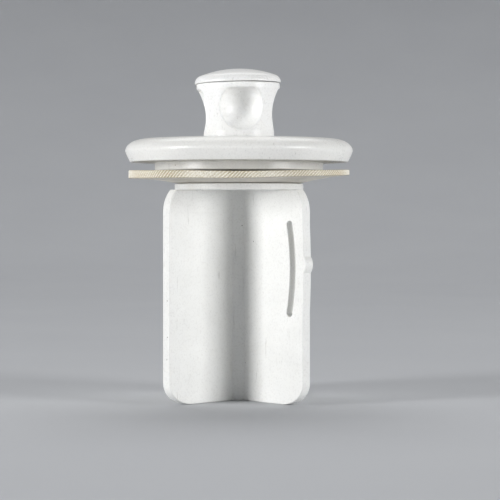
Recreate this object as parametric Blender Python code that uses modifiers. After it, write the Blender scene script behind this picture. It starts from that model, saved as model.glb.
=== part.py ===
"""Push-in stopper for a basin or bath waste.

A round flange with a dished washer under it closes the outlet. Four guide fins centre
the stopper in the pipe, and a sprung tongue on one of them rubs on the pipe's wall, so
that the stopper stays where it is pushed or lifted. A screw under the knob's crown holds
knob and flange to the stem.

Metres, +Z up. The origin is on the axis at the foot of the fins. The fins lie along X
and Y, and the tongue is on the +X fin.
"""
import math

import bmesh
import bpy

MM = 0.001
DEG = math.pi / 180

# Fits
CLEARANCE = 0.3 * MM            # between pieces that meet face to face

# Guide fins and their core
FIN_HEIGHT = 38.6 * MM
FIN_RADIUS = 17.7 * MM
FIN_THICKNESS = 1.9 * MM
FIN_FOOT_WIDTH = 5.6 * MM       # the lower outer corner is a quarter of an ellipse
FIN_FOOT_HEIGHT = 4.0 * MM
FIN_SHOULDER_ROUND = 5.6 * MM   # radius of the upper outer corner
FIN_SHOULDER_TURN = 46 * DEG    # how far that corner turns before the top edge cuts it
CORE_REACH = 2.5 * MM           # where the valley's 45 degree wall meets a fin's face

# Collar and hub, on top of the fins
COLLAR_RADIUS = 11.9 * MM
COLLAR_THICKNESS = 1.2 * MM
COLLAR_EDGE = 0.25 * MM
HUB_RADIUS = 5.0 * MM
HUB_ENTRY = 2.0 * MM            # how far the hub stands in the flange

# Slit and sprung tongue in the +X fin
SLOT_WIDTH = 1.4 * MM
SLOT_LENGTH = 15.7 * MM         # between the centres of its round ends
SLOT_TOP_INSET = 6.3 * MM       # upper end's centre, below the fin's top
SLOT_EDGE_INSET = 3.4 * MM      # both ends' centres, inside the fin's edge
SLOT_BOW = 0.85 * MM            # how far its middle stands out from the chord
TONGUE_BULGE = 0.25 * MM        # how far the tongue stands out from the fin's edge
BUMP_LENGTH = 2.9 * MM
BUMP_HEIGHT = 0.55 * MM
BUMP_DROP = 7.05 * MM           # centre of the bump, below the slot's upper end

# Washer
GASKET_INSET = 0.6 * MM         # its rim, inside the flange's rim
GASKET_THICKNESS = 1.2 * MM
GASKET_RISE = 1.0 * MM          # how far the dish lifts the rim
GASKET_PLAY = 0.3 * MM          # free height under the flange's step
GASKET_FLAT_RADIUS = 10.0 * MM  # the dish is flat inside this radius

# Flange
FLANGE_RADIUS = 21.0 * MM
FLANGE_THICKNESS = 4.25 * MM    # underside to top, without the step
RIM_ROUND_WIDTH = 3.5 * MM      # the rim's upper round is a quarter of an ellipse
RIM_ROUND_HEIGHT = 2.2 * MM
RIM_TAPER = 0.9 * MM            # how far the rim draws in below its widest line
RIM_TAPER_CURVE = 1.2           # 1 is a straight taper, more is a rounder one
STEP_HEIGHT = 1.6 * MM
STEP_INSET = 5.45 * MM          # the step's side, inside the flange's rim
EDGE_ROUND = 0.3 * MM

# Knob
KNOB_HEIGHT = 9.95 * MM         # flange to crown
KNOB_BASE_RADIUS = 6.5 * MM
KNOB_TOP_RADIUS = 7.7 * MM
KNOB_LIP = 1.05 * MM            # plain band above the scoops
KNOB_FOOT = 1.2 * MM            # plain band below them
KNOB_FLOOR = 1.9 * MM           # thickness under the screw's head
SPIGOT_RADIUS = 4.2 * MM        # locates the knob in the flange
SPIGOT_LENGTH = 1.2 * MM
SCOOP_WALL = 0.9 * MM           # left between a finger scoop and the bore
SCOOP_CUTOFF = 0.5 * MM         # what the flat ledge takes off the top of a scoop
SCOOP_COUNT = 4
SCOOP_TURN = -37.7 * DEG        # first scoop, from +X

# Crown
CROWN_OVERHANG = 0.25 * MM      # beyond the knob's lip
CROWN_HEIGHT = 2.7 * MM
CROWN_EDGE = 1.4 * MM           # radius of its rounded edge
CROWN_LIP = 0.1 * MM            # straight side under the rounded edge
CROWN_PLUG_LENGTH = 2.6 * MM
CROWN_PLUG_WALL = 0.9 * MM

# Clamp screw, a 2.6 mm self-tapper
SCREW_RADIUS = 1.3 * MM
SCREW_CORE_RADIUS = 0.95 * MM
SCREW_LENGTH = 20.0 * MM
SCREW_PITCH = 1.6 * MM
THREAD_UPPER_FLANK = 0.5 * MM   # height of a ridge's upper side, and of its lower side
THREAD_LOWER_FLANK = 0.25 * MM
SCREW_POINT = 2.0 * MM
SCREW_HEAD_RADIUS = 2.5 * MM
SCREW_HEAD_HEIGHT = 1.7 * MM
SCREW_HEAD_ROUND = 1.0 * MM
DRIVE_REACH = 1.35 * MM         # half the span of the cross recess
DRIVE_WIDTH = 0.55 * MM
DRIVE_DEPTH = 1.0 * MM

# Heights and radii that follow from the sizes above
COLLAR_TOP = FIN_HEIGHT + COLLAR_THICKNESS
GASKET_RADIUS = FLANGE_RADIUS - GASKET_INSET
GASKET_SEAT = COLLAR_TOP + CLEARANCE
STEP_RADIUS = FLANGE_RADIUS - STEP_INSET


def dish_lift(radius):
    """Height of the dished washer above its flat middle: an S-curve from middle to rim."""
    t = (radius - GASKET_FLAT_RADIUS) / (GASKET_RADIUS - GASKET_FLAT_RADIUS)
    t = min(max(t, 0.0), 1.0)
    return GASKET_RISE * t * t * (3 - 2 * t)


STEP_BOTTOM = GASKET_SEAT + GASKET_THICKNESS + dish_lift(STEP_RADIUS) + GASKET_PLAY
FLANGE_BOTTOM = STEP_BOTTOM + STEP_HEIGHT
FLANGE_TOP = FLANGE_BOTTOM + FLANGE_THICKNESS
SOCKET_TOP = STEP_BOTTOM + HUB_ENTRY + CLEARANCE
HUB_TOP = STEP_BOTTOM + HUB_ENTRY
KNOB_BOTTOM = FLANGE_TOP + CLEARANCE
KNOB_TOP = KNOB_BOTTOM + KNOB_HEIGHT
LEDGE = KNOB_TOP - KNOB_LIP
KNOB_FOOT_TOP = KNOB_BOTTOM + KNOB_FOOT
SPIGOT_BOTTOM = KNOB_BOTTOM - SPIGOT_LENGTH
KNOB_FLOOR_TOP = KNOB_BOTTOM + KNOB_FLOOR
CROWN_BOTTOM = KNOB_TOP + CLEARANCE
CROWN_RADIUS = KNOB_TOP_RADIUS + CROWN_OVERHANG
HEAD_BOTTOM = KNOB_FLOOR_TOP + CLEARANCE
SCREW_TIP = HEAD_BOTTOM - SCREW_LENGTH
SHANK_HOLE = SCREW_RADIUS + CLEARANCE
HEAD_BORE = SCREW_HEAD_RADIUS + CLEARANCE
SCOOP_CENTRE = (LEDGE + SCOOP_CUTOFF + KNOB_FOOT_TOP) / 2
SLOT_HIGH = FIN_HEIGHT - SLOT_TOP_INSET
SLOT_LOW = SLOT_HIGH - SLOT_LENGTH
BUMP_CENTRE = SLOT_HIGH - BUMP_DROP


# ---------------------------------------------------------------- outlines

def arc(centre, radii, start, end, count):
    """Points on an ellipse from start to end, both included; angles from its +X side."""
    steps = [start + (end - start) * i / count for i in range(count + 1)]
    return [(centre[0] + radii[0] * math.cos(a), centre[1] + radii[1] * math.sin(a))
            for a in steps]


def round_corner(corner, before, after, radius, count=3):
    """Points that round a corner between two straight sides."""
    def unit(end):
        dx, dy = end[0] - corner[0], end[1] - corner[1]
        size = math.hypot(dx, dy)
        return dx / size, dy / size
    (ax, ay), (bx, by) = unit(before), unit(after)
    half = math.acos(max(-1.0, min(1.0, ax * bx + ay * by))) / 2
    reach = radius / math.tan(half)
    mx, my = ax + bx, ay + by
    size = math.hypot(mx, my)
    away = radius / math.sin(half)
    centre = (corner[0] + mx / size * away, corner[1] + my / size * away)
    first = math.atan2(corner[1] + ay * reach - centre[1], corner[0] + ax * reach - centre[0])
    last = math.atan2(corner[1] + by * reach - centre[1], corner[0] + bx * reach - centre[0])
    turn = (last - first + math.pi) % (2 * math.pi) - math.pi
    return arc(centre, (radius, radius), first, first + turn, count)


# ---------------------------------------------------------------- scene helpers

def clear_scene():
    for old in list(bpy.data.objects):
        bpy.data.objects.remove(old, do_unlink=True)


def new_collection(name):
    made = bpy.data.collections.new(name)
    bpy.context.scene.collection.children.link(made)
    return made


def finish(name, color, roughness, metallic=0.0):
    """A Principled material with one colour."""
    material = bpy.data.materials.new(name)
    material.use_nodes = True
    shader = material.node_tree.nodes["Principled BSDF"]
    shader.inputs["Base Color"].default_value = (*color, 1.0)
    shader.inputs["Roughness"].default_value = roughness
    shader.inputs["Metallic"].default_value = metallic
    return material


def add_object(name, data, collection, material=None):
    made = bpy.data.objects.new(name, data)
    collection.objects.link(made)
    if material:
        data.materials.append(material)
    return made


def as_cutter(tool):
    """Hide a Boolean tool and keep it out of the finished parts."""
    tool.hide_render = True
    tool.display_type = "WIRE"
    return tool


def combine(target, tool, operation):
    step = target.modifiers.new(operation.title() + " " + tool.name, "BOOLEAN")
    step.operation = operation
    step.solver = "EXACT"
    step.object = as_cutter(tool)


def turned(name, profile, collection, steps, material=None, closed=False, base=0.0):
    """A solid of revolution about Z. The profile is (radius, height), top to bottom.

    A closed profile makes a ring. An open one starts and ends on the axis. The object's
    origin is on the axis at height base.
    """
    mesh = bpy.data.meshes.new(name)
    points = [(radius, 0.0, height - base) for radius, height in profile]
    edges = [(i, i + 1) for i in range(len(points) - 1)]
    if closed:
        edges.append((len(points) - 1, 0))
    mesh.from_pydata(points, edges, [])
    made = add_object(name, mesh, collection, material)
    made.location.z = base
    screw = made.modifiers.new("Revolve", "SCREW")
    screw.axis = "Z"
    screw.angle = 2 * math.pi
    screw.steps = steps
    screw.render_steps = steps
    screw.use_merge_vertices = True
    screw.merge_threshold = 0.00001
    screw.use_smooth_shade = True
    return made


def plate(name, outline, thickness, collection, turn=0.0, material=None, origin=(0.0, 0.0)):
    """A flat plate standing on edge: an outline of (distance out, height) points.

    It is centred on the plane through Z that makes the angle turn with +X. The origin
    is the outline point that becomes the object's own.
    """
    curve = bpy.data.curves.new(name + " outline", "CURVE")
    curve.dimensions = "2D"
    curve.fill_mode = "BOTH"
    curve.extrude = thickness / 2
    spline = curve.splines.new("POLY")
    spline.points.add(len(outline) - 1)
    for point, (out, height) in zip(spline.points, outline):
        point.co = (out - origin[0], height - origin[1], 0.0, 1.0)
    spline.use_cyclic_u = True
    drawn = bpy.data.objects.new(name + " outline", curve)
    bpy.context.scene.collection.objects.link(drawn)
    bpy.context.view_layer.update()
    evaluated = drawn.evaluated_get(bpy.context.evaluated_depsgraph_get())
    mesh = bpy.data.meshes.new_from_object(evaluated)
    bpy.data.objects.remove(drawn, do_unlink=True)
    bpy.data.curves.remove(curve)
    mesh.name = name
    weld = bmesh.new()
    weld.from_mesh(mesh)
    bmesh.ops.remove_doubles(weld, verts=weld.verts, dist=0.000001)
    bmesh.ops.recalc_face_normals(weld, faces=weld.faces)
    weld.to_mesh(mesh)
    weld.free()
    made = add_object(name, mesh, collection, material)
    made.rotation_euler = (math.pi / 2, 0.0, turn)
    made.location = (origin[0] * math.cos(turn), origin[0] * math.sin(turn), origin[1])
    return made


# ---------------------------------------------------------------- stem and tongue

def fin_outline():
    """Both fins of one plane: round feet, cut-off round shoulders, a tenon for the collar."""
    foot = arc((FIN_RADIUS - FIN_FOOT_WIDTH, FIN_FOOT_HEIGHT),
               (FIN_FOOT_WIDTH, FIN_FOOT_HEIGHT), -math.pi / 2, 0.0, 10)
    shoulder_start = FIN_HEIGHT - FIN_SHOULDER_ROUND * math.sin(FIN_SHOULDER_TURN)
    shoulder = arc((FIN_RADIUS - FIN_SHOULDER_ROUND, shoulder_start),
                   (FIN_SHOULDER_ROUND, FIN_SHOULDER_ROUND), 0.0, FIN_SHOULDER_TURN, 8)
    tenon = COLLAR_RADIUS / 2
    right = foot + shoulder
    right += [(tenon, FIN_HEIGHT), (tenon, FIN_HEIGHT + COLLAR_THICKNESS / 2)]
    left = [(-out, height) for out, height in reversed(right)]
    return right + left


def slot_circle():
    """Centre and radius of the circle that the slot's centreline lies on."""
    radius = (SLOT_LENGTH ** 2 / 4 + SLOT_BOW ** 2) / (2 * SLOT_BOW)
    out = FIN_RADIUS - SLOT_EDGE_INSET + SLOT_BOW - radius
    return (out, (SLOT_LOW + SLOT_HIGH) / 2), radius


def tongue_window_outline():
    """What the +X fin gives up: the slot, and the strip outside it with its end gaps."""
    centre, radius = slot_circle()
    half = SLOT_WIDTH / 2
    end_out = FIN_RADIUS - SLOT_EDGE_INSET
    beyond = FIN_RADIUS + SLOT_WIDTH
    split = CLEARANCE / 2
    lean = math.asin(SLOT_LENGTH / 2 / radius)
    dip = math.asin(split / half)
    low = arc((end_out, SLOT_LOW), (half, half), -dip, -math.pi - lean, 10)
    inner = arc(centre, (radius - half, radius - half), -lean, lean, 16)
    high = arc((end_out, SLOT_HIGH), (half, half), math.pi + lean, dip, 10)
    return ([(beyond, SLOT_LOW - split)] + low + inner[1:-1] + high
            + [(beyond, SLOT_HIGH + split)])


def tongue_outline():
    """The strip outside the slot, with its slight bulge and the rounded detent bump."""
    centre, radius = slot_circle()
    wall = radius + SLOT_WIDTH / 2
    low = SLOT_LOW + CLEARANCE / 2
    high = SLOT_HIGH - CLEARANCE / 2
    first = math.asin((low - centre[1]) / wall)
    last = math.asin((high - centre[1]) / wall)
    inner = arc(centre, (wall, wall), last, first, 16)

    span = (high - low) / 2
    middle = (high + low) / 2
    edge_radius = (span ** 2 + TONGUE_BULGE ** 2) / (2 * TONGUE_BULGE)
    edge_centre = FIN_RADIUS + TONGUE_BULGE - edge_radius

    def edge(height):
        return edge_centre + math.sqrt(edge_radius ** 2 - (height - middle) ** 2)

    half = BUMP_LENGTH / 2
    bump_radius = (half ** 2 + BUMP_HEIGHT ** 2) / (2 * BUMP_HEIGHT)
    sweep = math.asin(half / bump_radius)
    bump_out = edge(BUMP_CENTRE) + BUMP_HEIGHT - bump_radius
    bump = arc((bump_out, BUMP_CENTRE), (bump_radius, bump_radius), -sweep, sweep, 10)
    below = [low + (BUMP_CENTRE - half - low) * i / 6 for i in range(6)]
    above = [high - (high - BUMP_CENTRE - half) * i / 6 for i in range(5, -1, -1)]
    outer = [(edge(z), z) for z in below] + bump + [(edge(z), z) for z in above]
    return outer + inner


def build_stem(parts, cutters):
    """Cross of four fins on a chamfered core, a collar, and a hub with a pilot bore."""
    material = finish("guide_stem_white", (0.86, 0.86, 0.85), 0.38)
    stem = plate("guide_stem", fin_outline(), FIN_THICKNESS, parts, 0.0, material)
    combine(stem, plate("side fins", fin_outline(), FIN_THICKNESS, cutters, math.pi / 2),
            "UNION")

    core = bpy.data.meshes.new("core")
    build = bmesh.new()
    core_top = FIN_HEIGHT + COLLAR_THICKNESS / 2
    bmesh.ops.create_cone(build, cap_ends=True, segments=4, depth=core_top,
                          radius1=CORE_REACH + FIN_THICKNESS / 2,
                          radius2=CORE_REACH + FIN_THICKNESS / 2)
    bmesh.ops.translate(build, verts=build.verts, vec=(0.0, 0.0, core_top / 2))
    build.to_mesh(core)
    build.free()
    combine(stem, add_object("core", core, cutters), "UNION")

    side = [(COLLAR_RADIUS, COLLAR_TOP), (COLLAR_RADIUS, FIN_HEIGHT)]
    top_edge = round_corner(side[0], (0.0, COLLAR_TOP), side[1], COLLAR_EDGE)
    low_edge = round_corner(side[1], side[0], (0.0, FIN_HEIGHT), COLLAR_EDGE)
    hub_edge = round_corner((HUB_RADIUS, HUB_TOP), (0.0, HUB_TOP),
                            (HUB_RADIUS, COLLAR_TOP), COLLAR_EDGE)
    head = ([(0.0, HUB_TOP)] + hub_edge + [(HUB_RADIUS, COLLAR_TOP)] + top_edge + low_edge
            + [(0.0, FIN_HEIGHT)])
    combine(stem, turned("collar and hub", head, cutters, 64), "UNION")

    above = HUB_TOP + CLEARANCE
    bore_end = SCREW_TIP - CLEARANCE
    bore = [(0.0, above), (SHANK_HOLE, above), (SHANK_HOLE, bore_end + SHANK_HOLE / 2),
            (0.0, bore_end)]
    combine(stem, turned("pilot bore", bore, cutters, 24), "DIFFERENCE")
    window = plate("tongue window", tongue_window_outline(), 2 * FIN_THICKNESS, cutters)
    combine(stem, window, "DIFFERENCE")
    return stem


def build_tongue(parts):
    """The sprung strip outside the slot. It moves in towards the axis."""
    material = finish("detent_tongue_white", (0.86, 0.86, 0.85), 0.38)
    return plate("detent_tongue", tongue_outline(), FIN_THICKNESS, parts, 0.0, material,
                 origin=(FIN_RADIUS, BUMP_CENTRE))


# ---------------------------------------------------------------- washer and flange

def build_gasket(parts):
    """Soft dished washer, loose on the hub."""
    hole = HUB_RADIUS + CLEARANCE
    radii = [hole, GASKET_FLAT_RADIUS]
    dished = GASKET_RADIUS - GASKET_FLAT_RADIUS
    radii += [GASKET_FLAT_RADIUS + dished * i / 6 for i in range(1, 7)]
    under = [(radius, GASKET_SEAT + dish_lift(radius)) for radius in radii]
    over = [(radius, height + GASKET_THICKNESS) for radius, height in under]
    material = finish("gasket_cream", (0.72, 0.67, 0.56), 0.85)
    return turned("gasket", over + under[::-1], parts, 64, material, closed=True,
                  base=GASKET_SEAT)


def rim_profile():
    """The flange's outer profile, from its flat top to its underside."""
    flat = FLANGE_RADIUS - RIM_ROUND_WIDTH
    widest = FLANGE_TOP - RIM_ROUND_HEIGHT
    upper = arc((flat, widest), (RIM_ROUND_WIDTH, RIM_ROUND_HEIGHT), math.pi / 2, 0.0, 7)
    lower = [(FLANGE_RADIUS - RIM_TAPER * t ** RIM_TAPER_CURVE,
              widest + (FLANGE_BOTTOM - widest) * t) for t in (0.25, 0.5, 0.75, 1.0)]
    foot = round_corner(lower[-1], lower[-2], (0.0, FLANGE_BOTTOM), EDGE_ROUND)
    return upper + lower[:-1] + foot


def build_flange(parts):
    """Round flange with a stepped underside, a socket for the hub and a seat for the knob."""
    seat = SPIGOT_RADIUS + CLEARANCE
    seat_floor = SPIGOT_BOTTOM - CLEARANCE
    socket = HUB_RADIUS + CLEARANCE
    step_foot = round_corner((STEP_RADIUS, STEP_BOTTOM), (STEP_RADIUS, FLANGE_BOTTOM),
                             (socket, STEP_BOTTOM), EDGE_ROUND)
    profile = [(seat, FLANGE_TOP)] + rim_profile() + [(STEP_RADIUS, FLANGE_BOTTOM)] + step_foot
    profile += [(socket, STEP_BOTTOM), (socket, SOCKET_TOP), (SHANK_HOLE, SOCKET_TOP),
                (SHANK_HOLE, seat_floor), (seat, seat_floor)]
    material = finish("flange_white", (0.86, 0.86, 0.84), 0.3)
    return turned("flange_disc", profile, parts, 64, material, closed=True)


# ---------------------------------------------------------------- knob and crown

def knob_profile():
    """Tapered knob with a plain lip and foot, a screw bore and a locating spigot."""
    lip = round_corner((KNOB_TOP_RADIUS, KNOB_TOP), (0.0, KNOB_TOP),
                       (KNOB_TOP_RADIUS, LEDGE), EDGE_ROUND / 2)
    foot = round_corner((KNOB_BASE_RADIUS, KNOB_BOTTOM), (KNOB_BASE_RADIUS, KNOB_FOOT_TOP),
                        (0.0, KNOB_BOTTOM), EDGE_ROUND)
    return ([(HEAD_BORE, KNOB_TOP)] + lip + [(KNOB_TOP_RADIUS, LEDGE)]
            + [(KNOB_BASE_RADIUS, KNOB_FOOT_TOP)] + foot
            + [(SPIGOT_RADIUS, KNOB_BOTTOM), (SPIGOT_RADIUS, SPIGOT_BOTTOM),
               (SHANK_HOLE, SPIGOT_BOTTOM), (SHANK_HOLE, KNOB_FLOOR_TOP),
               (HEAD_BORE, KNOB_FLOOR_TOP)])


def scoop_sphere():
    """Radius of a scoop's sphere, and its centre's distance from the axis.

    The sphere leaves the wall to the bore, and its rim reaches down to the plain foot.
    """
    deepest = HEAD_BORE + SCOOP_WALL
    half_height = SCOOP_CENTRE - KNOB_FOOT_TOP
    offset = ((KNOB_BASE_RADIUS ** 2 - deepest ** 2 + half_height ** 2)
              / (2 * (KNOB_BASE_RADIUS - deepest)))
    return offset - deepest, offset


def scoop_cutter(number, collection):
    """A sphere cut off flat at the ledge under the lip."""
    radius, offset = scoop_sphere()
    ledge = LEDGE - SCOOP_CENTRE
    turn = SCOOP_TURN + number * 2 * math.pi / SCOOP_COUNT
    mesh = bpy.data.meshes.new(f"scoop {number}")
    build = bmesh.new()
    bmesh.ops.create_uvsphere(build, u_segments=24, v_segments=16, radius=radius)
    geometry = build.verts[:] + build.edges[:] + build.faces[:]
    cut = bmesh.ops.bisect_plane(build, geom=geometry, plane_co=(0.0, 0.0, ledge),
                                 plane_no=(0.0, 0.0, 1.0), clear_outer=True)
    rim = [item for item in cut["geom_cut"] if isinstance(item, bmesh.types.BMEdge)]
    bmesh.ops.contextual_create(build, geom=rim)
    bmesh.ops.recalc_face_normals(build, faces=build.faces)
    build.to_mesh(mesh)
    build.free()
    made = add_object(f"scoop {number}", mesh, collection)
    made.location = (offset * math.cos(turn), offset * math.sin(turn), SCOOP_CENTRE)
    made.rotation_euler.z = turn
    return made


def build_knob(parts, cutters):
    material = finish("knob_white", (0.88, 0.88, 0.87), 0.32)
    knob = turned("knob", knob_profile(), parts, 48, material, closed=True)
    for number in range(SCOOP_COUNT):
        combine(knob, scoop_cutter(number, cutters), "DIFFERENCE")
    return knob


def build_crown(parts):
    """Domed cap that hides the screw, with a hollow plug that fits the knob's bore."""
    apex = CROWN_BOTTOM + CROWN_HEIGHT
    edge_out = CROWN_RADIUS - CROWN_EDGE
    edge_base = CROWN_BOTTOM + CROWN_LIP
    rise = apex - edge_base
    # The dome is the circle that runs smoothly into the rounded edge.
    dome_radius = (edge_out ** 2 + rise ** 2 - CROWN_EDGE ** 2) / (2 * (rise - CROWN_EDGE))
    meet = math.pi / 2 - math.asin(edge_out / (dome_radius - CROWN_EDGE))
    dome = arc((0.0, apex - dome_radius), (dome_radius, dome_radius), math.pi / 2, meet, 6)
    edge = arc((edge_out, edge_base), (CROWN_EDGE, CROWN_EDGE), meet, 0.0, 5)
    plug = HEAD_BORE - CLEARANCE
    plug_end = CROWN_BOTTOM - CROWN_PLUG_LENGTH
    profile = (dome[:-1] + edge + [(CROWN_RADIUS, CROWN_BOTTOM), (plug, CROWN_BOTTOM)]
               + [(plug, plug_end), (plug - CROWN_PLUG_WALL, plug_end)]
               + [(plug - CROWN_PLUG_WALL, CROWN_BOTTOM), (0.0, CROWN_BOTTOM)])
    profile[0] = (0.0, apex)
    material = finish("knob_crown_white", (0.88, 0.88, 0.87), 0.28)
    return turned("knob_crown", profile, parts, 48, material)


# ---------------------------------------------------------------- screw

def build_screw(parts, cutters):
    """Pan-head self-tapper with a cross recess. Its thread is drawn as plain ridges."""
    head_top = HEAD_BOTTOM + SCREW_HEAD_HEIGHT
    head = arc((SCREW_HEAD_RADIUS - SCREW_HEAD_ROUND, head_top - SCREW_HEAD_ROUND),
               (SCREW_HEAD_ROUND, SCREW_HEAD_ROUND), math.pi / 2, 0.0, 5)
    profile = [(0.0, head_top)] + head + [(SCREW_HEAD_RADIUS, HEAD_BOTTOM)]
    profile += [(SCREW_CORE_RADIUS, HEAD_BOTTOM)]
    turns = int((SCREW_LENGTH - SCREW_POINT) / SCREW_PITCH)
    for number in range(turns):
        ridge = HEAD_BOTTOM - SCREW_PITCH * (number + 1) + THREAD_LOWER_FLANK
        profile += [(SCREW_CORE_RADIUS, ridge + THREAD_UPPER_FLANK), (SCREW_RADIUS, ridge),
                    (SCREW_CORE_RADIUS, ridge - THREAD_LOWER_FLANK)]
    profile += [(0.0, SCREW_TIP)]
    material = finish("clamp_screw_steel", (0.62, 0.62, 0.63), 0.3, metallic=1.0)
    screw = turned("clamp_screw", profile, parts, 16, material)
    for number in range(2):
        bar = bpy.data.meshes.new(f"drive {number}")
        build = bmesh.new()
        bmesh.ops.create_cube(build, size=1.0)
        bmesh.ops.scale(build, verts=build.verts,
                        vec=(2 * DRIVE_REACH, DRIVE_WIDTH, 2 * DRIVE_DEPTH))
        build.to_mesh(bar)
        build.free()
        tool = add_object(f"drive {number}", bar, cutters)
        tool.location.z = head_top
        tool.rotation_euler.z = number * math.pi / 2
        combine(screw, tool, "DIFFERENCE")
    return screw


def main():
    clear_scene()
    parts = new_collection("drain_stopper")
    cutters = new_collection("cutters")
    build_stem(parts, cutters)
    build_tongue(parts)
    build_gasket(parts)
    build_flange(parts)
    build_knob(parts, cutters)
    build_crown(parts)
    build_screw(parts, cutters)


main()
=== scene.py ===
"""Looks of the push-in drain stopper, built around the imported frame.

Lengths here are in millimetres. A piece is scaled to metres when it is made. The stem's
fins lie along X and Y, the sprung tongue is on the +X fin, and +Z is up.
"""
import math

import bmesh
import bpy
import numpy as np
from mathutils import Matrix, Vector


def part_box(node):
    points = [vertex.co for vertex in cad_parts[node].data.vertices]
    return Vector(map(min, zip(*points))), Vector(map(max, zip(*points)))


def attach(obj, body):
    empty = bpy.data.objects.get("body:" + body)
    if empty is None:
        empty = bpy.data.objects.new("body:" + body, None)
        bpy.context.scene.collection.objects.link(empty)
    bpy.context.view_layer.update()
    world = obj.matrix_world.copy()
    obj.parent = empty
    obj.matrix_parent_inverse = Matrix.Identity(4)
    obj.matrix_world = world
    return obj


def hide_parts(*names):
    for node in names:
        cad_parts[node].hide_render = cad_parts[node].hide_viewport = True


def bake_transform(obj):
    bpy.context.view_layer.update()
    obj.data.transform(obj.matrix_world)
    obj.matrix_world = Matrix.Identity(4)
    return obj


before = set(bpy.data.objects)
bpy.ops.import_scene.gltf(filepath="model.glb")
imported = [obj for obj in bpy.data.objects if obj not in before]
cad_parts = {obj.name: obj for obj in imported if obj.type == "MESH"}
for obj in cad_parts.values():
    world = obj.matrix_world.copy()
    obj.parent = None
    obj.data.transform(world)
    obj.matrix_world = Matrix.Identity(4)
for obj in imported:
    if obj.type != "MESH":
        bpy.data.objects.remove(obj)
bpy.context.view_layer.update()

MM = 0.001
DEG = math.pi / 180
GAP = 0.3                       # the CAD's clearance between pieces


def box(node):
    """A CAD node's lowest and highest corners."""
    low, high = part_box(node)
    return low / MM, high / MM


STEM_LOW, STEM_HIGH = box("guide_stem")
TONGUE_LOW, TONGUE_HIGH = box("detent_tongue")
WASHER_LOW, WASHER_HIGH = box("gasket")
FLANGE_LOW, FLANGE_HIGH = box("flange_disc")
KNOB_LOW, KNOB_HIGH = box("knob")
CROWN_LOW, CROWN_HIGH = box("knob_crown")

# The view of the object: the way to the camera, and the camera's right
VIEW = Vector((0.735, -0.678, 0.0)).normalized()
RIGHT = Vector((-VIEW.y, VIEW.x, 0.0))
EYE_HEIGHT = 35.5
EYE_DISTANCE = 330.0
LENS = 128.4
SHIFT = (0.022, -0.086)

# Stem
FIN_RADIUS = -STEM_LOW.x
FIN_THICKNESS = 1.9
FIN_FOOT_WIDTH = 5.6
FIN_FOOT_HEIGHT = 4.0
FIN_SHOULDER_ROUND = 5.6
FIN_SHOULDER_TURN = 46 * DEG
FIN_EDGE = 0.2                  # round along the fins' edges
CORE_REACH = 2.5
CORE_FILLET = 0.4
CORE_SINK = 0.02                # how far the fillets start inside the fins
COLLAR_RADIUS = 11.9
COLLAR_THICKNESS = 1.2
COLLAR_EDGE = 0.25
COLLAR_TOP = WASHER_LOW.z - GAP
FIN_TOP = COLLAR_TOP - COLLAR_THICKNESS
HUB_RADIUS = 5.0
HUB_TOP = STEM_HIGH.z
PILOT_RADIUS = 1.6
PILOT_END = 30.35

# Slit and sprung tongue
SLOT_WIDTH = 1.4
SLOT_EDGE_INSET = 3.4
SLOT_BOW = 0.85
SLOT_LOW = TONGUE_LOW.z - GAP / 2
SLOT_HIGH = TONGUE_HIGH.z + GAP / 2
TONGUE_BULGE = 0.25
BUMP_LENGTH = 2.9
BUMP_HEIGHT = 0.55
BUMP_DROP = 7.05
BUMP_CENTRE = SLOT_HIGH - BUMP_DROP
TONGUE_SPLIT = BUMP_CENTRE - BUMP_LENGTH / 2 - 0.4

# Washer
WASHER_RADIUS = WASHER_HIGH.x
WASHER_THICKNESS = 1.2
WASHER_SQUEEZE = 0.2            # how much thinner its rim is on the right, thicker on the left
WASHER_RISE = WASHER_HIGH.z - WASHER_LOW.z - WASHER_THICKNESS
WASHER_FLAT_RADIUS = 11.4       # inside this it lies on the collar
WASHER_CURVE = 1.7              # power of the dish: higher rises sooner, near the middle
WASHER_TILT = 0.28              # how far its rim stands up on the right, down on the left
WASHER_SAG = 0.5                # how far its rim hangs at the front and back
WASHER_WAVE = 0.05              # broad waves of its rim
WASHER_FLUTTER = 0.015          # fine waves of its rim
WASHER_DROP = 0.24              # its middle sits lower than the CAD's, near the collar
WASHER_EDGE = 0.16
RIDGES = 180                    # round the cut rim
RIDGE_COLUMNS = 8               # of the mesh, to a ridge
RIDGE_DEPTH = 0.11
RIDGE_LEAN = -1.9               # turns of the ridge pattern over the rim's height
RIDGE_REACH = 0.3               # how far in from the rim the ridges fade
RIDGE_WANDER = 2.5              # radians that the ridges stray from even spacing
RIDGE_STRENGTH = 0.55           # mean share of the ridges' depth, and how far it varies
RIDGE_VARIATION = 0.45
RIM_ROUGHNESS = 0.02
CUT_TINT_DEPTH = (0.36, 0.28)   # in from the rim: the face's colour turns into the cut's
RIDGE_SHADE_DEPTH = (0.17, 0.01)  # in from the rim: painted shade at a ridge's foot turns into its lighter crest

# Flange
FLANGE_RADIUS = FLANGE_HIGH.x
FLANGE_TOP = FLANGE_HIGH.z
STEP_BOTTOM = FLANGE_LOW.z
STEP_HEIGHT = 1.6
STEP_RADIUS = FLANGE_RADIUS - 5.45
FLANGE_BOTTOM = STEP_BOTTOM + STEP_HEIGHT
RIM_ROUND_WIDTH = 3.5
RIM_ROUND_HEIGHT = 2.2
RIM_TAPER = 0.9
RIM_TAPER_CURVE = 1.2
EDGE_ROUND = 0.3
SPIGOT_RADIUS = 4.2
SPIGOT_BOTTOM = KNOB_LOW.z

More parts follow.
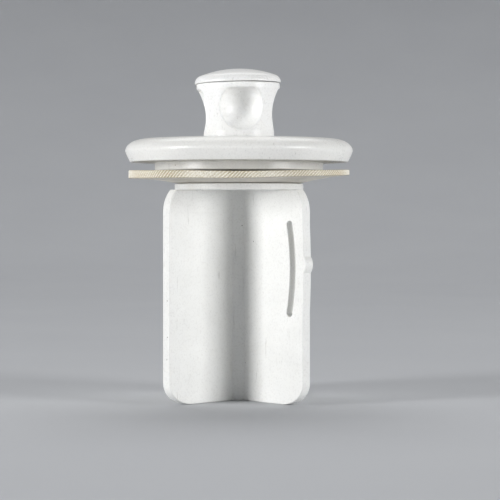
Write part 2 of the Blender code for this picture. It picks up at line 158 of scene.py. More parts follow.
# Knob
KNOB_BOTTOM = FLANGE_TOP + 0.1
KNOB_TOP = KNOB_HIGH.z
KNOB_BASE_RADIUS = 6.5
KNOB_TOP_RADIUS = KNOB_HIGH.x
KNOB_FOOT_TOP = FLANGE_TOP + GAP + 1.2
KNOB_FLOOR_TOP = FLANGE_TOP + GAP + 1.9
LEDGE = KNOB_TOP - 1.05
HEAD_BORE = 2.8
SCOOP_WALL = 0.9
SCOOP_CENTRE = (LEDGE + 0.5 + KNOB_FOOT_TOP) / 2
SCOOP_COUNT = 4
SCOOP_TURN = -37.7 * DEG
SCOOP_SOFTNESS = 0.3            # how far from its rim a scoop starts to round over
KNOB_SOFTNESS = 0.3
KNOB_VOXEL = 0.12
DRAW_STEPS = 6                  # moves of the remeshed points onto the exact shape
DRAW_LIMIT = 0.06               # the longest of these moves
LEAST_SLOPE = 0.2               # keeps a move finite where the shape's field is flat
KNOB_TILT = 0.9 * DEG

# Crown
CROWN_RADIUS = CROWN_HIGH.x
CROWN_BOTTOM = KNOB_TOP + GAP
CROWN_TOP = CROWN_HIGH.z
CROWN_EDGE = 1.4
CROWN_LIP = 0.1
CROWN_PLUG_RADIUS = HEAD_BORE - GAP
CROWN_PLUG_WALL = 0.9
CROWN_TILT = 1.2 * DEG
CROWN_DROP = 0.2                # how far it sits below the CAD's, for a thin seam

# Studio
FLOOR_MIDDLE = 60.0             # radius of the floor's undivided middle
FLOOR_FLAT = 450.0
FLOOR_BEND = 900.0
FLOOR_WALL = 1600.0             # height that the floor's rim rises to
SIDE_LIGHTS_AWAY = 550.0
ROOM_COLOR = (0.97, 0.98, 1.0, 1.0)
ROOM_STRENGTH = 0.07


# ---------------------------------------------------------------- outlines

def arc(centre, radii, start, end, count):
    """Points on an ellipse from start to end, both included; angles from its +X side."""
    steps = [start + (end - start) * i / count for i in range(count + 1)]
    return [(centre[0] + radii[0] * math.cos(a), centre[1] + radii[1] * math.sin(a))
            for a in steps]


def rounded(corners, steps=4, closed=False):
    """Points along a path. Each corner is (x, y, radius of its round)."""
    points = []
    last = len(corners) - 1
    for number, (x, y, radius) in enumerate(corners):
        if radius == 0 or (not closed and number in (0, last)):
            points.append((x, y))
            continue
        here = Vector((x, y))
        before = (Vector(corners[number - 1][:2]) - here).normalized()
        after = (Vector(corners[(number + 1) % len(corners)][:2]) - here).normalized()
        half = before.angle(after) / 2
        centre = here + (before + after).normalized() * radius / math.sin(half)
        first = here + before * radius / math.tan(half) - centre
        second = here + after * radius / math.tan(half) - centre
        start = math.atan2(first.y, first.x)
        turn = (math.atan2(second.y, second.x) - start + math.pi) % (2 * math.pi) - math.pi
        points += arc(centre, (radius, radius), start, start + turn, steps)
    return points


def between(start, end, count):
    """Points on a straight line, without its end."""
    return [(start[0] + (end[0] - start[0]) * i / count,
             start[1] + (end[1] - start[1]) * i / count) for i in range(count)]


# ---------------------------------------------------------------- mesh helpers

def mesh_object(name, points, faces):
    """An object from points in millimetres. It stays in millimetres until piece() is called."""
    mesh = bpy.data.meshes.new(name)
    faces = faces.tolist() if isinstance(faces, np.ndarray) else faces
    mesh.from_pydata(np.asarray(points).tolist(), [], faces)
    mesh.validate()
    made = bpy.data.objects.new(name, mesh)
    bpy.context.scene.collection.objects.link(made)
    return made


def clean(obj):
    """Merge coincident points and turn all faces outward."""
    work = bmesh.new()
    work.from_mesh(obj.data)
    bmesh.ops.remove_doubles(work, verts=work.verts, dist=0.0005)
    bmesh.ops.recalc_face_normals(work, faces=work.faces)
    work.to_mesh(obj.data)
    work.free()
    return obj


def turned(name, profile, columns, closed=False, warp=None):
    """A solid of revolution. The profile is (radius, height), top to bottom on its outside.

    warp(angle, radius, height) may return other radii and heights.
    """
    angle = np.arange(columns) * 2 * math.pi / columns
    rows = np.array(profile)
    radius = np.repeat(rows[:, :1], columns, axis=1)
    height = np.repeat(rows[:, 1:], columns, axis=1)
    if warp:
        radius, height = warp(angle, radius, height)
    points = np.stack([radius * np.cos(angle), radius * np.sin(angle), height], axis=-1)
    grid = np.arange(radius.size).reshape(radius.shape)
    upper = grid if closed else grid[:-1]
    lower = np.roll(grid, -1, axis=0) if closed else grid[1:]
    quads = np.stack([upper, lower, np.roll(lower, -1, axis=1), np.roll(upper, -1, axis=1)],
                     axis=-1)
    return clean(mesh_object(name, points.reshape(-1, 3), quads.reshape(-1, 4)))


def plate(name, loops, thickness, edge, matrix):
    """A flat plate with rounded edges: closed loops of points, the first one outermost."""
    curve = bpy.data.curves.new(name, "CURVE")
    curve.dimensions = "2D"
    curve.fill_mode = "BOTH"
    curve.extrude = thickness / 2 - edge
    curve.bevel_depth = edge
    curve.bevel_resolution = 2
    curve.offset = -edge
    for loop in loops:
        spline = curve.splines.new("POLY")
        spline.points.add(len(loop) - 1)
        for point, (x, y) in zip(spline.points, loop):
            point.co = (x, y, 0.0, 1.0)
        spline.use_cyclic_u = True
    drawn = bpy.data.objects.new(name, curve)
    bpy.context.scene.collection.objects.link(drawn)
    made = baked(drawn)
    made.data.transform(matrix)
    return clean(made)


def prism(name, loop, levels):
    """A standing prism from an anticlockwise loop. Each level is (height, scale of the loop)."""
    ring = np.array(loop)
    count = len(ring)
    points = [np.column_stack([ring * scale, np.full(count, height)])
              for height, scale in levels]
    faces = [list(range(count))[::-1]]
    for level in range(len(levels) - 1):
        for i in range(count):
            here, after = level * count + i, level * count + (i + 1) % count
            faces.append([here, after, after + count, here + count])
    faces.append([(len(levels) - 1) * count + i for i in range(count)])
    return clean(mesh_object(name, np.concatenate(points), faces))


def baked(obj):
    """Replace an object by a plain mesh of what its modifiers or curve settings make."""
    bpy.context.view_layer.update()
    evaluated = obj.evaluated_get(bpy.context.evaluated_depsgraph_get())
    mesh = bpy.data.meshes.new_from_object(evaluated)
    name = obj.name
    bpy.data.objects.remove(obj, do_unlink=True)
    made = bpy.data.objects.new(name, mesh)
    made.name = name
    bpy.context.scene.collection.objects.link(made)
    return made


def combined(target, tools, operation):
    """The Boolean of an object with several others, which are used up."""
    for tool in tools:
        step = target.modifiers.new(tool.name, "BOOLEAN")
        step.operation = operation
        step.solver = "EXACT"
        step.object = tool
    made = baked(target)
    for tool in tools:
        bpy.data.objects.remove(tool, do_unlink=True)
    return made


def copied(obj, name):
    made = bpy.data.objects.new(name, obj.data.copy())
    bpy.context.scene.collection.objects.link(made)
    return made


def tilted(obj, angle, pivot_height):
    """Tip an object about its axis' point at a height, so that its right side rises."""
    pivot = Matrix.Translation((0.0, 0.0, pivot_height))
    turn = Matrix.Rotation(angle, 4, VIEW)
    obj.data.transform(pivot @ turn @ pivot.inverted())


def piece(obj, material, replaced, sharp=35 * DEG, weighted=False):
    """Finish a piece: smooth shading, metres, material and what it stands for."""
    obj.data.shade_smooth()
    if sharp:
        obj.data.set_sharp_from_angle(angle=sharp)
    if weighted:
        step = obj.modifiers.new("Flat faces stay flat", "WEIGHTED_NORMAL")
        step.keep_sharp = True
        obj = baked(obj)
    obj.data.transform(Matrix.Scale(MM, 4))
    obj.data.materials.clear()
    obj.data.materials.append(material)
    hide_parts(replaced)
    return obj


# ---------------------------------------------------------------- materials

def tint(red, green, blue):
    """Linear colour from display values out of 255."""
    return tuple((value / 255) ** 2.2 for value in (red, green, blue)) + (1.0,)


class Finish:
    """A procedural material: shorthand for making and joining its nodes."""

    def __init__(self, name):
        self.material = bpy.data.materials.new(name)
        self.material.use_nodes = True
        self.tree = self.material.node_tree
        self.shader = self.tree.nodes["Principled BSDF"]
        self.where = self.node("ShaderNodeTexCoord").outputs["Object"]

    def node(self, kind, inputs=None, **settings):
        made = self.tree.nodes.new(kind)
        for name, value in settings.items():
            setattr(made, name, value)
        for name, value in (inputs or {}).items():
            if isinstance(value, bpy.types.NodeSocket):
                self.tree.links.new(value, made.inputs[name])
            else:
                made.inputs[name].default_value = value
        return made

    def set(self, **values):
        """Set the shader's own sockets; underscores stand for spaces."""
        for name, value in values.items():
            socket = self.shader.inputs[name.replace("_", " ")]
            if isinstance(value, bpy.types.NodeSocket):
                self.tree.links.new(value, socket)
            else:
                socket.default_value = value

    def stretched(self, scale, rotation=(0.0, 0.0, 0.0)):
        return self.node("ShaderNodeMapping", {"Vector": self.where, "Scale": scale,
                                               "Rotation": rotation}).outputs["Vector"]

    def noise(self, size, detail=3.0, roughness=0.5, where=None, distortion=0.0):
        """Noise whose features are about size millimetres across."""
        return self.node("ShaderNodeTexNoise", {
            "Vector": where or self.where, "Scale": 1 / (size * MM), "Detail": detail,
            "Roughness": roughness, "Distortion": distortion}).outputs["Fac"]

    def range(self, value, from_low, from_high, to_low=0.0, to_high=1.0):
        return self.node("ShaderNodeMapRange", {
            "Value": value, "From Min": from_low, "From Max": from_high,
            "To Min": to_low, "To Max": to_high}).outputs["Result"]

    def math(self, operation, first, second=0.0):
        made = self.node("ShaderNodeMath", operation=operation)
        for socket, value in zip(made.inputs, (first, second)):
            if isinstance(value, bpy.types.NodeSocket):
                self.tree.links.new(value, socket)
            else:
                socket.default_value = value
        return made.outputs["Value"]

    def mix(self, share, first, second):
        made = self.node("ShaderNodeMix", data_type="RGBA")
        for number, value in ((0, share), (6, first), (7, second)):
            if isinstance(value, bpy.types.NodeSocket):
                self.tree.links.new(value, made.inputs[number])
            else:
                made.inputs[number].default_value = value
        return made.outputs[2]

    def bump(self, height, depth, strength=1.0, under=None):
        """Bump of about depth millimetres, on top of another one."""
        inputs = {"Height": height, "Distance": depth * MM, "Strength": strength}
        if under:
            inputs["Normal"] = under
        return self.node("ShaderNodeBump", inputs).outputs["Normal"]

    def specks(self, spacing, radius, share):
        """1 inside small round specks, 0 elsewhere. share of the cells have one."""
        cells = self.node("ShaderNodeTexVoronoi",
                          {"Vector": self.where, "Scale": 1 / (spacing * MM)})
        near = self.math("LESS_THAN", cells.outputs["Distance"], radius / spacing)
        pick = self.node("ShaderNodeSeparateColor", {"Color": cells.outputs["Color"]})
        return self.math("MULTIPLY", near,
                         self.math("LESS_THAN", pick.outputs["Red"], share))


def white_plastic(name, light, dark, roughness, speck_share, gloss_wave):
    """Moulded plastic: cloudy tone, fine grain, slow waves, specks and light scratches.

    speck_share is the share of cells with a speck, gloss_wave the waves' depth.
    """
    grain_tint, scratch_tint, speck_tint = (tint(208, 206, 203), tint(170, 168, 162),
                                            tint(120, 112, 98))
    grain_share, scratch_share, speck_strength = 0.4, 0.4, 0.75
    roughness_spread, scratch_roughness = 0.07, 0.15

    finish = Finish(name)
    cloud = finish.noise(size=6.0, detail=4.0)
    grain = finish.noise(size=0.35, detail=4.0, roughness=0.6)
    color = finish.mix(finish.range(cloud, 0.3, 0.7), dark, light)
    color = finish.mix(finish.range(grain, 0.5, 0.75, 0.0, grain_share), color, grain_tint)
    scratch_way = finish.stretched(scale=(1.0, 1.0, 0.07), rotation=(0.5, 0.35, 0.0))
    scratches = finish.range(finish.noise(size=0.45, detail=2.0, where=scratch_way,
                                          distortion=0.4), 0.69, 0.76)
    color = finish.mix(finish.math("MULTIPLY", scratches, scratch_share), color, scratch_tint)
    dust = finish.specks(spacing=2.2, radius=0.11, share=speck_share)
    color = finish.mix(finish.math("MULTIPLY", dust, speck_strength), color, speck_tint)
    rough = finish.range(finish.math("ADD", cloud, grain), 0.7, 1.3,
                         roughness - roughness_spread, roughness + roughness_spread)
    rough = finish.math("ADD", rough, finish.math("MULTIPLY", scratches, scratch_roughness))
    waves = finish.bump(finish.noise(size=2.6, detail=2.0), depth=gloss_wave)
    fine = finish.bump(grain, depth=0.012, strength=0.6, under=waves)
    marks = finish.bump(finish.math("SUBTRACT", dust, scratches), depth=0.01, strength=0.6,
                        under=fine)
    finish.set(Base_Color=color, Roughness=rough, Normal=marks, IOR=1.49,
               Subsurface_Weight=0.12, Subsurface_Radius=(1.0, 0.95, 0.85),
               Subsurface_Scale=0.5 * MM)
    return finish.material


def washer_sheet():
    """Cream sheet: felt-like grain on its faces, slanting ridges on its cut rim, with painted
    shade between the ridges.
    """
    finish = Finish("washer_cream")
    cloud = finish.noise(size=3.0, detail=4.0)
    fibre = finish.noise(size=0.22, detail=5.0, roughness=0.65, distortion=0.6)
    face = finish.mix(finish.range(cloud, 0.3, 0.7), tint(212, 207, 198), tint(226, 221, 211))
    place = finish.node("ShaderNodeSeparateXYZ", {"Vector": finish.where})
    across = finish.math("POWER", place.outputs["X"], 2.0)
    along = finish.math("POWER", place.outputs["Y"], 2.0)
    radius = finish.math("SQRT", finish.math("ADD", across, along))
    rim = finish.range(radius, *((WASHER_RADIUS - depth) * MM for depth in CUT_TINT_DEPTH))
    # Painted shade: the ridges' feet, deeper in from the rim, keep the cut's dark tan, and only
    # the crests take the fibre's light flecks
    ridge_shading = finish.range(radius, *((WASHER_RADIUS - depth) * MM for depth in RIDGE_SHADE_DEPTH))
    fleck_and_ridge_shading = finish.math("MULTIPLY", finish.range(fibre, 0.25, 0.55), ridge_shading)
    cut = finish.mix(fleck_and_ridge_shading, tint(182, 168, 136), tint(247, 243, 231))
    color = finish.mix(rim, face, cut)
    rough = finish.range(fibre, 0.3, 0.7, 0.72, 0.92)
    weave = finish.bump(fibre, depth=0.05, strength=0.7)
    finish.set(Base_Color=color, Roughness=rough, Normal=weave, IOR=1.45,
               Subsurface_Weight=0.1, Subsurface_Radius=(1.0, 0.85, 0.6),
               Subsurface_Scale=0.4 * MM)
    return finish.material


def screw_steel():
    """Plain stainless with fine turning marks."""
    finish = Finish("screw_stainless")
    lines = finish.noise(size=0.08, detail=2.0, where=finish.stretched(scale=(0.1, 0.1, 1.0)))
    color = finish.mix(finish.noise(size=1.2), tint(186, 186, 190), tint(214, 214, 214))
    finish.set(Base_Color=color, Metallic=1.0, Roughness=finish.range(lines, 0.2, 0.8, 0.22, 0.4),
               Normal=finish.bump(lines, depth=0.005, strength=0.5))
    return finish.material


def floor_paper():
    """Pale studio paper."""
    finish = Finish("studio_paper")
    cloud = finish.noise(size=60.0)
    color = finish.mix(cloud, tint(190, 192, 196), tint(197, 199, 202))
    finish.set(Base_Color=color, Roughness=0.9,
               Normal=finish.bump(finish.noise(size=0.8), depth=0.02, strength=0.4))
    return finish.material


# ---------------------------------------------------------------- stem and tongue

def slot_circle():
    """Centre and radius of the circle that the slot's centreline lies on."""
    length = SLOT_HIGH - SLOT_LOW
    radius = (length ** 2 / 4 + SLOT_BOW ** 2) / (2 * SLOT_BOW)
    out = FIN_RADIUS - SLOT_EDGE_INSET + SLOT_BOW - radius
    return (out, (SLOT_LOW + SLOT_HIGH) / 2), radius


def slot_loop():
    """The slot's outline, clockwise."""
    centre, radius = slot_circle()
    half = SLOT_WIDTH / 2
    lean = math.asin((SLOT_HIGH - SLOT_LOW) / 2 / radius)
    end_out = FIN_RADIUS - SLOT_EDGE_INSET
    low = arc((end_out, SLOT_LOW), (half, half), -lean - math.pi, -lean, 16)
    outer = arc(centre, (radius + half, radius + half), -lean, lean, 60)
    high = arc((end_out, SLOT_HIGH), (half, half), lean, lean + math.pi, 16)
    inner = arc(centre, (radius - half, radius - half), lean, -lean, 60)
    return (low[:-1] + outer[:-1] + high[:-1] + inner[:-1])[::-1]


def tongue_edge():
    """The fin's outer edge beside the slot: a slight bulge with the rounded bump on it."""
    span = (SLOT_HIGH - SLOT_LOW) / 2
    middle = (SLOT_HIGH + SLOT_LOW) / 2
    edge_radius = (span ** 2 + TONGUE_BULGE ** 2) / (2 * TONGUE_BULGE)
    edge_centre = FIN_RADIUS + TONGUE_BULGE - edge_radius

    def edge(height):
        return edge_centre + math.sqrt(edge_radius ** 2 - (height - middle) ** 2)

    half = BUMP_LENGTH / 2
    bump_radius = (half ** 2 + BUMP_HEIGHT ** 2) / (2 * BUMP_HEIGHT)
    sweep = math.asin(half / bump_radius)
    bump_out = edge(BUMP_CENTRE) + BUMP_HEIGHT - bump_radius
    bump = arc((bump_out, BUMP_CENTRE), (bump_radius, bump_radius), -sweep, sweep, 18)
    below = np.linspace(SLOT_LOW, BUMP_CENTRE - half, 26)[:-1]
    above = np.linspace(BUMP_CENTRE + half, SLOT_HIGH, 20)[1:]
    return ([(edge(z), z) for z in below] + bump + [(edge(z), z) for z in above])


def fin_loop(with_tongue):
    """Both fins of one plane, anticlockwise, with a tenon that enters the collar."""
    foot = arc((FIN_RADIUS - FIN_FOOT_WIDTH, FIN_FOOT_HEIGHT),
               (FIN_FOOT_WIDTH, FIN_FOOT_HEIGHT), -math.pi / 2, 0.0, 24)
    shoulder_start = FIN_TOP - FIN_SHOULDER_ROUND * math.sin(FIN_SHOULDER_TURN)
    shoulder = arc((FIN_RADIUS - FIN_SHOULDER_ROUND, shoulder_start),
                   (FIN_SHOULDER_ROUND, FIN_SHOULDER_ROUND), 0.0, FIN_SHOULDER_TURN, 20)
    tenon = COLLAR_RADIUS - 2 * COLLAR_EDGE
    top = [(tenon, FIN_TOP), (tenon, FIN_TOP + COLLAR_THICKNESS / 2)]
    right = foot + (tongue_edge() if with_tongue else []) + shoulder + top
    left = [(-out, height) for out, height in reversed(foot + shoulder + top)]
    return right + left


def window_loop(low, high):
    """Takes in the tongue between two heights: bounded inside by the slot's centreline."""
    centre, radius = slot_circle()
    beyond = FIN_RADIUS + 2 * SLOT_WIDTH
    first = math.asin((low - centre[1]) / radius)
    last = math.asin((high - centre[1]) / radius)
    return [(beyond, high)] + arc(centre, (radius, radius), last, first, 24) + [(beyond, low)]


def core_loop():
    """Plan of the stem's core: 45 degree walls that run into the fins in small fillets."""
    half = FIN_THICKNESS / 2
    reach = CORE_REACH + CORE_FILLET * math.tan(22.5 * DEG)
    quarter = [(reach, half / 2)]
    quarter += arc((reach, half + CORE_FILLET - CORE_SINK), (CORE_FILLET, CORE_FILLET),
                   -90 * DEG, -135 * DEG, 5)
    quarter += [(y, x) for x, y in reversed(quarter)]
    loop = []
    for number in range(4):
        turn = Matrix.Rotation(number * math.pi / 2, 2)
        loop += [tuple(turn @ Vector(point)) for point in quarter]
    return loop


def build_stem(material):
    """Stem with its collar and hub, and the tongue in two halves."""
    upright = Matrix.Rotation(math.pi / 2, 4, "X")
    crossing = Matrix.Rotation(math.pi / 2, 4, "Z") @ upright
    long_plate = plate("stem", [fin_loop(True), slot_loop()], FIN_THICKNESS, FIN_EDGE, upright)
    thick = 3 * FIN_THICKNESS
    halves = {}
    for name, low, high in (("tongue_lower", SLOT_LOW, TONGUE_SPLIT),
                            ("tongue_upper", TONGUE_SPLIT, SLOT_HIGH)):
        window = plate("window", [window_loop(low, high)], thick, 0.0, upright)
        halves[name] = combined(copied(long_plate, name), [window], "INTERSECT")
    window = plate("window", [window_loop(SLOT_LOW, SLOT_HIGH)], thick, 0.0, upright)
    stem = combined(long_plate, [window], "DIFFERENCE")

    side = plate("side fins", [fin_loop(False)], FIN_THICKNESS, FIN_EDGE, crossing)
    foot = [(FIN_EDGE * (1 - math.cos(a)), 1 - FIN_EDGE / CORE_REACH * (1 - math.sin(a)))
            for a in np.linspace(0, math.pi / 2, 5)]
    core = prism("core", core_loop(), foot + [(FIN_TOP + COLLAR_THICKNESS / 2, 1.0)])
    head = turned("collar and hub", rounded(
        [(0.0, HUB_TOP, 0), (HUB_RADIUS, HUB_TOP, COLLAR_EDGE), (HUB_RADIUS, COLLAR_TOP, 0.2),
         (COLLAR_RADIUS, COLLAR_TOP, COLLAR_EDGE), (COLLAR_RADIUS, FIN_TOP, COLLAR_EDGE),
         (0.0, FIN_TOP, 0)]), 192)
    stem = combined(stem, [side, core, head], "UNION")
    above = HUB_TOP + 1.0
    bore = turned("pilot bore", [(0.0, above), (PILOT_RADIUS, above),
                                 (PILOT_RADIUS, PILOT_END + PILOT_RADIUS / 2),
                                 (0.0, PILOT_END)], 64)
    stem = combined(stem, [bore], "DIFFERENCE")
    stem = piece(clean(stem), material, "guide_stem", weighted=True)
    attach(stem, "stopper")

    for name, half in halves.items():
        half = piece(clean(half), material, "detent_tongue", weighted=True)
        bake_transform(half)


# ---------------------------------------------------------------- washer and flange

def ripple(angle, lobes, seed):
    """A smooth random wave round the axis, about -1 to 1."""
    draw = np.random.default_rng(seed)
    total = np.zeros_like(angle)
    for lobe in lobes:
        total += draw.uniform(0.5, 1.0) * np.cos(lobe * angle + draw.uniform(0, 2 * math.pi))
    return total / (0.75 * len(lobes))


def washer_warp(angle, radius, height):
    """Dish, tip and ruffle the washer, and cut ridges into its rim."""
    share = np.clip((radius - WASHER_FLAT_RADIUS) / (WASHER_RADIUS - WASHER_FLAT_RADIUS), 0, 1)
    lift = WASHER_RISE - (WASHER_RISE + WASHER_DROP) * (1 - share) ** WASHER_CURVE
    toward = math.atan2(RIGHT.y, RIGHT.x)
    lift = lift - WASHER_SQUEEZE * share * np.cos(angle - toward) * (height - WASHER_LOW.z)
    lift = lift + WASHER_TILT * share * np.cos(angle - toward)
    lift = lift + WASHER_SAG * share * (np.cos(2 * (angle - toward)) - 1) / 2
    lift = lift + WASHER_WAVE * share ** 2 * ripple(angle, (3, 5, 7), seed=4)
    lift = lift + WASHER_FLUTTER * share * ripple(angle, range(23, 61, 4), seed=11)
    rim = np.clip((radius - WASHER_RADIUS + RIDGE_REACH) / RIDGE_REACH, 0, 1)
    depth = (height - WASHER_LOW.z) / WASHER_THICKNESS
    wander = RIDGE_WANDER * ripple(angle, (9, 14, 22), seed=5)
    phase = RIDGES * angle + 2 * math.pi * RIDGE_LEAN * depth + wander
    strength = RIDGE_STRENGTH + RIDGE_VARIATION * ripple(angle, (4, 7, 11), seed=8)
    ridges = RIDGE_DEPTH * strength * (np.cos(phase) - 1)
    rough = RIM_ROUGHNESS * ripple(angle, range(90, 320, 17), seed=3)
    return radius + rim * (ridges + rough), height + lift


def build_washer(material):
    """Soft dished sheet washer."""
    hole = HUB_RADIUS + GAP
    top = WASHER_LOW.z + WASHER_THICKNESS
    corners = rounded([(hole, WASHER_LOW.z, WASHER_EDGE), (hole, top, WASHER_EDGE),
                       (WASHER_RADIUS, top, WASHER_EDGE),
                       (WASHER_RADIUS, WASHER_LOW.z, WASHER_EDGE)], steps=4, closed=True)
    rim_step, face_step = 0.1, 0.8
    profile = []
    for number, start in enumerate(corners):
        end = corners[(number + 1) % len(corners)]
        upright = abs(start[0] - end[0]) < 0.01
        step = rim_step if upright else face_step
        profile += between(start, end, max(1, round(math.dist(start, end) / step)))
    washer = turned("sealing_washer", profile, RIDGES * RIDGE_COLUMNS, closed=True,
                    warp=washer_warp)
    washer = piece(washer, material, "gasket", sharp=0)
    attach(washer, "washer")


def build_flange(material):
    """Round flange: rolled rim, stepped underside, seats for the knob and the hub."""
    flat = FLANGE_RADIUS - RIM_ROUND_WIDTH
    widest = FLANGE_TOP - RIM_ROUND_HEIGHT
    upper = arc((flat, widest), (RIM_ROUND_WIDTH, RIM_ROUND_HEIGHT), math.pi / 2, 0.0, 40)
    taper = [(FLANGE_RADIUS - RIM_TAPER * t ** RIM_TAPER_CURVE,
              widest + (FLANGE_BOTTOM - widest) * t) for t in np.linspace(0.05, 0.85, 17)]
    seat = SPIGOT_RADIUS + GAP
    seat_floor = SPIGOT_BOTTOM - GAP
    socket = HUB_RADIUS + GAP
    bore = PILOT_RADIUS
    lower = rounded([(*taper[-1], 0), (FLANGE_RADIUS - RIM_TAPER, FLANGE_BOTTOM, EDGE_ROUND),
                     (STEP_RADIUS, FLANGE_BOTTOM, 0.25), (STEP_RADIUS, STEP_BOTTOM, EDGE_ROUND),
                     (socket, STEP_BOTTOM, 0.15), (socket, HUB_TOP + GAP, 0.1),
                     (bore, HUB_TOP + GAP, 0.1), (bore, seat_floor, 0.1),
                     (seat, seat_floor, 0.1), (seat, FLANGE_TOP, 0.15), (*upper[0], 0)], steps=6)
    profile = upper + taper[:-1] + lower[:-1]
    flange = turned("flange", profile, 288, closed=True)
    flange = piece(flange, material, "flange_disc", weighted=True)
    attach(flange, "stopper")


# ---------------------------------------------------------------- knob and crown

def scoop_sphere():
    """Radius of a scoop's sphere, and its centre's distance from the axis."""
    deepest = HEAD_BORE + SCOOP_WALL
    half_height = SCOOP_CENTRE - KNOB_FOOT_TOP
    offset = ((KNOB_BASE_RADIUS ** 2 - deepest ** 2 + half_height ** 2)
              / (2 * (KNOB_BASE_RADIUS - deepest)))
    return offset - deepest, offset


def scoop_turns():
    """The scoops' directions from +X."""
    return [SCOOP_TURN + number * 2 * math.pi / SCOOP_COUNT for number in range(SCOOP_COUNT)]


def soft_max(first, second, soft):
    """The larger value, rounded over where the two are closer than soft."""
    near = np.clip(soft - np.abs(first - second), 0, None) / soft
    return np.maximum(first, second) + near * near * soft / 4


def knob_taper(height):
    """Radius of the knob's side: tapered, with a plain band at its foot and top."""
    t = np.clip((height - KNOB_FOOT_TOP) / (LEDGE - KNOB_FOOT_TOP), 0, 1)
    return KNOB_BASE_RADIUS + (KNOB_TOP_RADIUS - KNOB_BASE_RADIUS) * t


def knob_field(points):
    """Signed distance, roughly, from the knob's surface; negative inside."""
    x, y, z = points.T
    out = np.hypot(x, y)
    body = soft_max(out - knob_taper(z), z - KNOB_TOP, KNOB_SOFTNESS)
    body = soft_max(body, KNOB_BOTTOM - z, KNOB_SOFTNESS)
    radius, offset = scoop_sphere()
    for turn in scoop_turns():
        centre = (offset * math.cos(turn), offset * math.sin(turn), SCOOP_CENTRE)
        ball = np.linalg.norm(points - centre, axis=1) - radius
        scoop = soft_max(ball, z - LEDGE, KNOB_SOFTNESS)
        body = soft_max(body, -scoop, SCOOP_SOFTNESS)
    spigot = np.maximum(out - SPIGOT_RADIUS, SPIGOT_BOTTOM - z)
    body = np.where(z < KNOB_BOTTOM + KNOB_SOFTNESS, np.minimum(body, spigot), body)
    bore = np.maximum(out - HEAD_BORE, KNOB_FLOOR_TOP - z)
    body = soft_max(body, -bore, KNOB_SOFTNESS / 2)
    return soft_max(body, PILOT_RADIUS - out, KNOB_SOFTNESS / 2)


def slope(field, points, reach=0.01):
    """Gradient of a field at points."""
    parts = []
    for axis in range(3):
        step = np.zeros(3)
        step[axis] = reach
        parts.append((field(points + step) - field(points - step)) / (2 * reach))
    return np.stack(parts, axis=1)


def build_knob(material):
    """Knob with four finger scoops, remeshed finely and drawn onto its exact shape."""
    profile = [(HEAD_BORE, KNOB_TOP), (KNOB_TOP_RADIUS, KNOB_TOP), (KNOB_TOP_RADIUS, LEDGE),
               (KNOB_BASE_RADIUS, KNOB_FOOT_TOP), (KNOB_BASE_RADIUS, KNOB_BOTTOM),
               (SPIGOT_RADIUS, KNOB_BOTTOM), (SPIGOT_RADIUS, SPIGOT_BOTTOM),
               (PILOT_RADIUS, SPIGOT_BOTTOM), (PILOT_RADIUS, KNOB_FLOOR_TOP),
               (HEAD_BORE, KNOB_FLOOR_TOP)]
    knob = turned("knob_grip", profile, 128, closed=True)
    radius, offset = scoop_sphere()
    rise = math.asin((LEDGE - SCOOP_CENTRE) / radius)
    balls = []
    for turn in scoop_turns():
        outline = [(0.0, LEDGE)] + arc((0.0, SCOOP_CENTRE), (radius, radius),
                                       rise, -math.pi / 2, 30)
        ball = turned("scoop", outline, 64)
        ball.data.transform(Matrix.Translation((offset * math.cos(turn),
                                                offset * math.sin(turn), 0.0)))
        balls.append(ball)
    knob = combined(knob, balls, "DIFFERENCE")
    remesh = knob.modifiers.new("Fine even mesh", "REMESH")
    remesh.mode = "VOXEL"
    remesh.voxel_size = KNOB_VOXEL
    knob = baked(knob)
    flat = np.empty(len(knob.data.vertices) * 3)
    knob.data.vertices.foreach_get("co", flat)
    points = flat.reshape(-1, 3)
    for _ in range(DRAW_STEPS):
        way = slope(knob_field, points)
        steepness = np.maximum((way ** 2).sum(axis=1, keepdims=True), LEAST_SLOPE)
        move = knob_field(points)[:, None] * way / steepness
        points = points - np.clip(move, -DRAW_LIMIT, DRAW_LIMIT)
    knob.data.vertices.foreach_set("co", points.ravel())
    knob.data.update()
    knob.data.shade_smooth()
    tilted(knob, KNOB_TILT, KNOB_BOTTOM)
    knob = piece(knob, material, "knob", sharp=60 * DEG)
    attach(knob, "stopper")


def build_crown(material):
    """Domed cap with a rounded edge, tipped a little in its seat."""
    edge_out = CROWN_RADIUS - CROWN_EDGE
    edge_base = CROWN_BOTTOM + CROWN_LIP
    rise = CROWN_TOP - edge_base
    dome_radius = (edge_out ** 2 + rise ** 2 - CROWN_EDGE ** 2) / (2 * (rise - CROWN_EDGE))
    meet = math.pi / 2 - math.asin(edge_out / (dome_radius - CROWN_EDGE))
    dome = arc((0.0, CROWN_TOP - dome_radius), (dome_radius, dome_radius),
               math.pi / 2, meet, 36)
    dome[0] = (0.0, CROWN_TOP)
    edge = arc((edge_out, edge_base), (CROWN_EDGE, CROWN_EDGE), meet, 0.0, 20)
    plug_end = CROWN_LOW.z
    inner = CROWN_PLUG_RADIUS - CROWN_PLUG_WALL
    under = rounded([(*edge[-1], 0), (CROWN_RADIUS, CROWN_BOTTOM, 0.08),
                     (CROWN_PLUG_RADIUS, CROWN_BOTTOM, 0.15), (CROWN_PLUG_RADIUS, plug_end, 0.2),
                     (inner, plug_end, 0.2), (inner, CROWN_BOTTOM, 0.2), (0.0, CROWN_BOTTOM, 0)])
    crown = turned("crown", dome[:-1] + edge[:-1] + under, 256)
    crown.data.transform(Matrix.Translation((0.0, 0.0, -CROWN_DROP)))
    tilted(crown, CROWN_TILT, KNOB_BOTTOM)
    crown = piece(crown, material, "knob_crown", weighted=True)
    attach(crown, "stopper")


# ---------------------------------------------------------------- studio

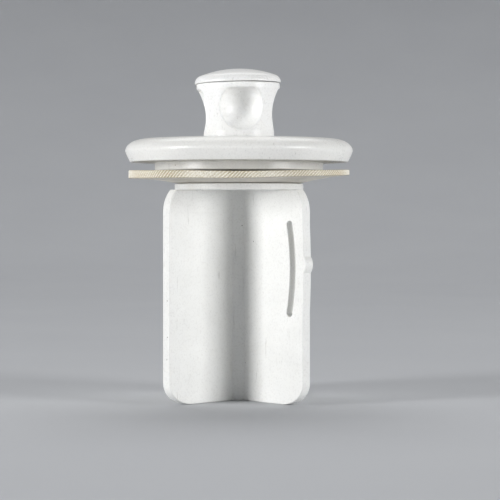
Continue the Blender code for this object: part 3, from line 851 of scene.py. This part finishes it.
def build_floor(material):
    """A wide round floor that rises smoothly all round."""
    rise = arc((FLOOR_FLAT, FLOOR_BEND), (FLOOR_BEND, FLOOR_BEND), -math.pi / 2, 0.0, 32)
    profile = ([(0.0, 0.0)] + between((FLOOR_MIDDLE, 0.0), (FLOOR_FLAT, 0.0), 14) + rise
               + [(FLOOR_FLAT + FLOOR_BEND, FLOOR_WALL)])
    floor = turned("studio_floor", profile, 128)
    floor.data.transform(Matrix.Scale(MM, 4))
    floor.data.shade_smooth()
    floor.data.materials.append(material)


def softbox(name, way, height, distance, size, power):
    """A rectangular light that faces the object's middle."""
    light = bpy.data.lights.new(name, "AREA")
    light.shape = "RECTANGLE"
    light.size, light.size_y = size[0] * MM, size[1] * MM
    light.energy = power
    lamp = bpy.data.objects.new(name, light)
    lamp.location = Vector((way.x * distance, way.y * distance, height)) * MM
    aim = Vector((0.0, 0.0, EYE_HEIGHT * MM)) - lamp.location
    lamp.rotation_euler = aim.to_track_quat("-Z", "Y").to_euler()
    lamp.visible_camera = False
    bpy.context.scene.collection.objects.link(lamp)


def build_studio():
    """A softbox to each side of the camera, a wide one high at the back, and the camera."""
    def aside(angle):
        return VIEW * math.cos(angle) + RIGHT * math.sin(angle)

    softbox("key", aside(-62 * DEG), height=118.0, distance=SIDE_LIGHTS_AWAY,
            size=(135.0, 250.0), power=2.5)
    softbox("fill", aside(61 * DEG), height=128.0, distance=SIDE_LIGHTS_AWAY,
            size=(185.0, 250.0), power=2.0)
    softbox("overhead", aside(180 * DEG), height=900.0, distance=500.0,
            size=(900.0, 700.0), power=5.0)
    world = bpy.data.worlds.new("room")
    bpy.context.scene.world = world
    world.use_nodes = True
    backdrop = world.node_tree.nodes["Background"]
    backdrop.inputs["Color"].default_value = ROOM_COLOR
    backdrop.inputs["Strength"].default_value = ROOM_STRENGTH

    lens = bpy.data.cameras.new("camera")
    lens.lens = LENS
    lens.shift_x, lens.shift_y = SHIFT
    lens.clip_start = 0.01
    camera = bpy.data.objects.new("camera", lens)
    camera.location = Vector((VIEW.x * EYE_DISTANCE, VIEW.y * EYE_DISTANCE, EYE_HEIGHT)) * MM
    camera.rotation_euler = (-VIEW).to_track_quat("-Z", "Y").to_euler()
    bpy.context.scene.collection.objects.link(camera)
    bpy.context.scene.camera = camera
    bpy.context.scene.view_settings.view_transform = "Standard"


def main():
    stem_white = white_plastic("stem_white", tint(246, 246, 243), tint(240, 240, 237),
                               roughness=0.45, speck_share=0.3, gloss_wave=0.02)
    flange_white = white_plastic("flange_white", tint(242, 241, 237), tint(236, 236, 232),
                                 roughness=0.32, speck_share=0.06, gloss_wave=0.03)
    knob_white = white_plastic("knob_white", tint(250, 250, 248), tint(246, 246, 244),
                               roughness=0.38, speck_share=0.04, gloss_wave=0.02)
    build_stem(stem_white)
    build_washer(washer_sheet())
    build_flange(flange_white)
    build_knob(knob_white)
    build_crown(knob_white)
    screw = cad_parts["clamp_screw"]
    for slot in screw.material_slots:
        slot.material = screw_steel()
    build_floor(floor_paper())
    build_studio()


main()
